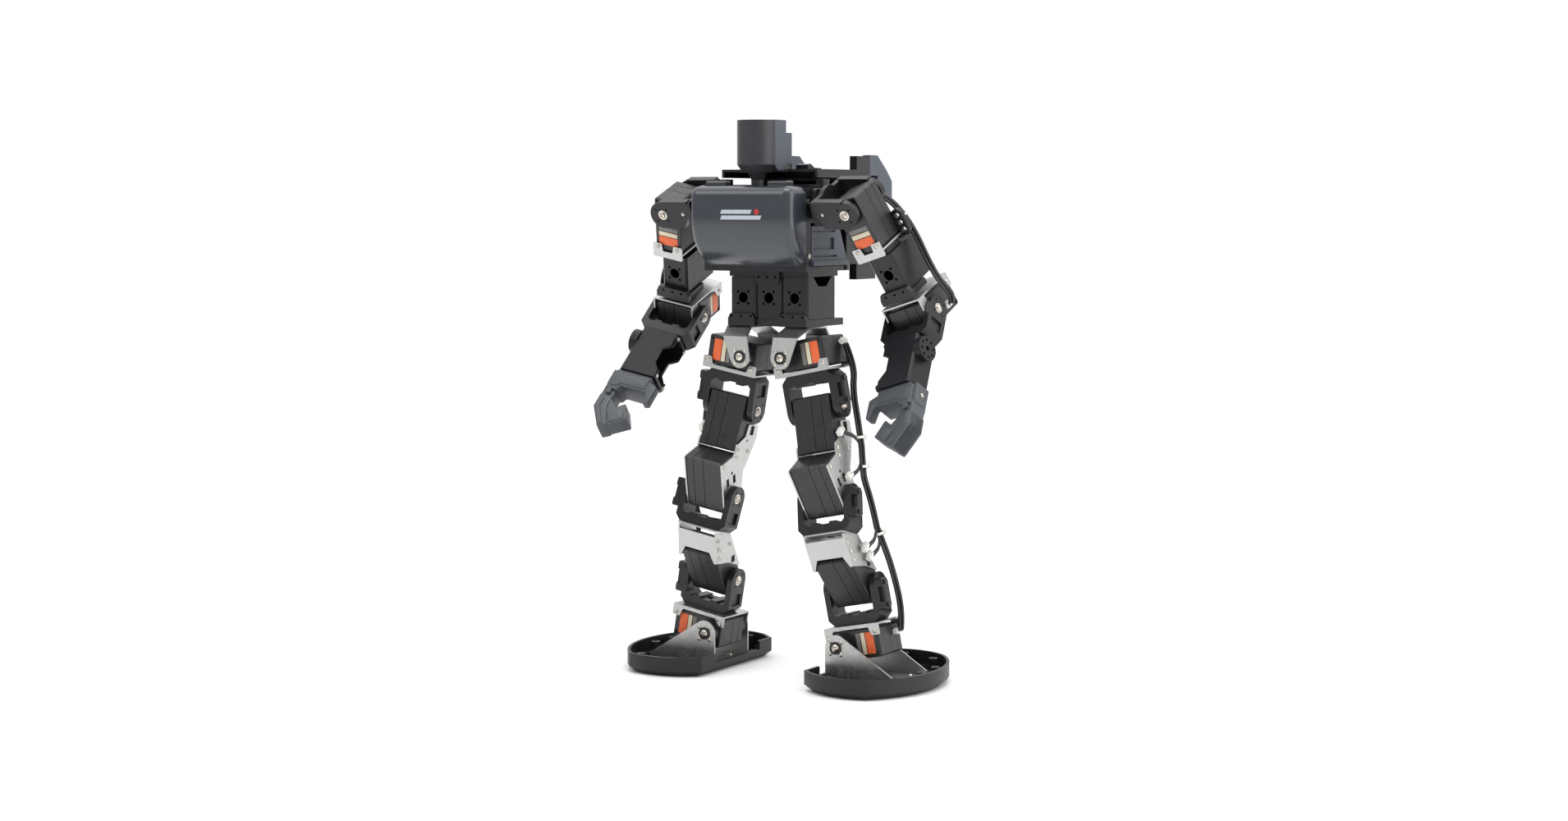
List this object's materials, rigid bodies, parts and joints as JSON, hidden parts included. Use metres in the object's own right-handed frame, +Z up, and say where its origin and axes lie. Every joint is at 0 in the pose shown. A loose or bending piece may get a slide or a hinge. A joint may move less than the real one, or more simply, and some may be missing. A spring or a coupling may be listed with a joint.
{
  "type": "humanoid robot kit",
  "caption": "Desktop humanoid robot kit with servo joints in neck, arms and legs, bent metal brackets, a glossy chest cover and tray-shaped feet.",
  "frame": {"origin": "centre of the bounding box at the floor, under the soles", "axes": "+Z up, +X towards the robot's left, -Y towards its front"},
  "size_m": [0.2658, 0.1702, 0.4005],
  "materials": {
    "chest_gloss": "gloss",
    "black_plastic": "satin",
    "grey_blue_plastic": "satin",
    "head_plastic": "matte",
    "circuit_board": "satin",
    "battery_wrap": "gloss",
    "servo_case": "satin",
    "aluminium_sheet": "satin anodised",
    "steel_screw": "bright",
    "forearm_gloss": "gloss",
    "hand_plastic": "matte",
    "foot_plastic": "soft satin",
    "lead_sleeve": "matte"
  },
  "bodies": {
    "torso": {"chest_cover": "chest_gloss", "torso_frame": "black_plastic", "side_covers": "grey_blue_plastic", "back_cover": "black_plastic", "control_board": "circuit_board", "battery_pack": "battery_wrap", "neck_servo": "servo_case", "shoulder_pitch_servos": "servo_case", "waist_spacers": "black_plastic", "waist_brackets": "black_plastic", "hip_hangers": "aluminium_sheet", "back_handle": "grey_blue_plastic", "torso_screws": "steel_screw"},
    "head": {"head_cover": "head_plastic", "head_back": "grey_blue_plastic"},
    "power_switch": {"power_switch": "black_plastic"},
    "left_shoulder": {"left_shoulder_yoke": "black_plastic"},
    "left_upper_arm": {"left_arm_servos": "servo_case", "left_arm_brackets": "aluminium_sheet", "left_arm_spacer": "black_plastic", "left_arm_leads": "lead_sleeve"},
    "left_forearm": {"left_elbow_yoke": "black_plastic", "left_forearm_shell": "forearm_gloss", "left_hand": "hand_plastic"},
    "left_hip": {"left_hip_roll_servo": "servo_case", "left_hip_bracket": "aluminium_sheet", "left_hip_yoke": "black_plastic"},
    "left_thigh": {"left_thigh_servos": "servo_case", "left_thigh_plates": "aluminium_sheet", "left_leg_leads": "lead_sleeve"},
    "left_shin": {"left_knee_yoke": "black_plastic", "left_shin_frame": "aluminium_sheet", "left_ankle_pitch_servo": "servo_case"},
    "left_ankle": {"left_ankle_yoke": "black_plastic", "left_ankle_bracket": "aluminium_sheet", "left_ankle_roll_servo": "servo_case"},
    "left_foot": {"left_foot_tray": "foot_plastic", "left_foot_bracket": "aluminium_sheet"},
    "right_shoulder": {"right_shoulder_yoke": "black_plastic"},
    "right_upper_arm": {"right_arm_servos": "servo_case", "right_arm_brackets": "aluminium_sheet", "right_arm_spacer": "black_plastic", "right_arm_leads": "lead_sleeve"},
    "right_forearm": {"right_elbow_yoke": "black_plastic", "right_forearm_shell": "forearm_gloss", "right_hand": "hand_plastic"},
    "right_hip": {"right_hip_roll_servo": "servo_case", "right_hip_bracket": "aluminium_sheet", "right_hip_yoke": "black_plastic"},
    "right_thigh": {"right_thigh_servos": "servo_case", "right_thigh_plates": "aluminium_sheet", "right_leg_leads": "lead_sleeve"},
    "right_shin": {"right_knee_yoke": "black_plastic", "right_shin_frame": "aluminium_sheet", "right_ankle_pitch_servo": "servo_case"},
    "right_ankle": {"right_ankle_yoke": "black_plastic", "right_ankle_bracket": "aluminium_sheet", "right_ankle_roll_servo": "servo_case"},
    "right_foot": {"right_foot_tray": "foot_plastic", "right_foot_bracket": "aluminium_sheet"}
  },
  "joints": [
    {"name": "head_yaw", "type": "hinge", "parent": "torso", "child": "head", "pos_m": [-0.00699, -0.04465, 0.36], "axis": [0, 0, 1], "range_deg": [-90, 90]},
    {"name": "power_rocker", "type": "hinge", "parent": "torso", "child": "power_switch", "pos_m": [0.01301, -0.00815, 0.3646], "axis": [1, 0, 0], "range_deg": [-8, 8]},
    {"name": "left_shoulder_pitch", "type": "hinge", "parent": "torso", "child": "left_shoulder", "pos_m": [0.04301, -0.03331, 0.34191], "axis": [1, 0, 0], "range_deg": [-90, 90]},
    {"name": "left_shoulder_roll", "type": "hinge", "parent": "left_shoulder", "child": "left_upper_arm", "pos_m": [0.06865, -0.03331, 0.34191], "axis": [0, -0.914, -0.4058], "range_deg": [-12, 90]},
    {"name": "left_elbow_pitch", "type": "hinge", "parent": "left_upper_arm", "child": "left_forearm", "pos_m": [0.09658, -0.00046, 0.26339], "axis": [-0.9501, 0.1265, -0.285], "range_deg": [-60, 45], "deforming": ["left_arm_leads"]},
    {"name": "left_hip_roll", "type": "hinge", "parent": "torso", "child": "left_hip", "pos_m": [0.01008, -0.01885, 0.23241], "axis": [0, -1, 0], "range_deg": [-11.5, 12]},
    {"name": "left_hip_pitch", "type": "hinge", "parent": "left_hip", "child": "left_thigh", "pos_m": [0.02974, -0.02118, 0.19567], "axis": [-0.9792, 0, -0.203], "range_deg": [-35, 80], "deforming": ["left_leg_leads"]},
    {"name": "left_knee_pitch", "type": "hinge", "parent": "left_thigh", "child": "left_shin", "pos_m": [0.04289, -0.02889, 0.13221], "axis": [0.9792, 0, 0.203], "range_deg": [-18, 90]},
    {"name": "left_ankle_pitch", "type": "hinge", "parent": "left_shin", "child": "left_ankle", "pos_m": [0.05606, -0.01456, 0.06868], "axis": [-0.9792, 0, -0.203], "range_deg": [-40, 40]},
    {"name": "left_ankle_roll", "type": "hinge", "parent": "left_ankle", "child": "left_foot", "pos_m": [0.05251, -0.013, 0.02769], "axis": [0, 1, 0], "range_deg": [-15, 20]},
    {"name": "right_shoulder_pitch", "type": "hinge", "parent": "torso", "child": "right_shoulder", "pos_m": [-0.05699, -0.03331, 0.34191], "axis": [1, 0, 0], "range_deg": [-90, 90]},
    {"name": "right_shoulder_roll", "type": "hinge", "parent": "right_shoulder", "child": "right_upper_arm", "pos_m": [-0.08263, -0.03331, 0.34191], "axis": [0, 0.9169, 0.3991], "range_deg": [-10, 90]},
    {"name": "right_elbow_pitch", "type": "hinge", "parent": "right_upper_arm", "child": "right_forearm", "pos_m": [-0.10262, -0.00015, 0.26113], "axis": [-0.9748, -0.0891, 0.2047], "range_deg": [-64, 45], "deforming": ["right_arm_leads"]},
    {"name": "right_hip_roll", "type": "hinge", "parent": "torso", "child": "right_hip", "pos_m": [-0.02406, -0.01885, 0.23241], "axis": [0, 1, 0], "range_deg": [-9.5, 14]},
    {"name": "right_hip_pitch", "type": "hinge", "parent": "right_hip", "child": "right_thigh", "pos_m": [-0.04243, -0.02118, 0.195], "axis": [-0.9856, 0, 0.1688], "range_deg": [-35, 80], "deforming": ["right_leg_leads"]},
    {"name": "right_knee_pitch", "type": "hinge", "parent": "right_thigh", "child": "right_shin", "pos_m": [-0.05329, -0.03194, 0.13156], "axis": [0.9856, 0, -0.1688], "range_deg": [-24, 90]},
    {"name": "right_ankle_pitch", "type": "hinge", "parent": "right_shin", "child": "right_ankle", "pos_m": [-0.06409, -0.0139, 0.06853], "axis": [-0.9856, 0, 0.1688], "range_deg": [-40, 40]},
    {"name": "right_ankle_roll", "type": "hinge", "parent": "right_ankle", "child": "right_foot", "pos_m": [-0.05912, -0.01234, 0.02769], "axis": [0, -1, 0], "range_deg": [-15, 20]}
  ]
}
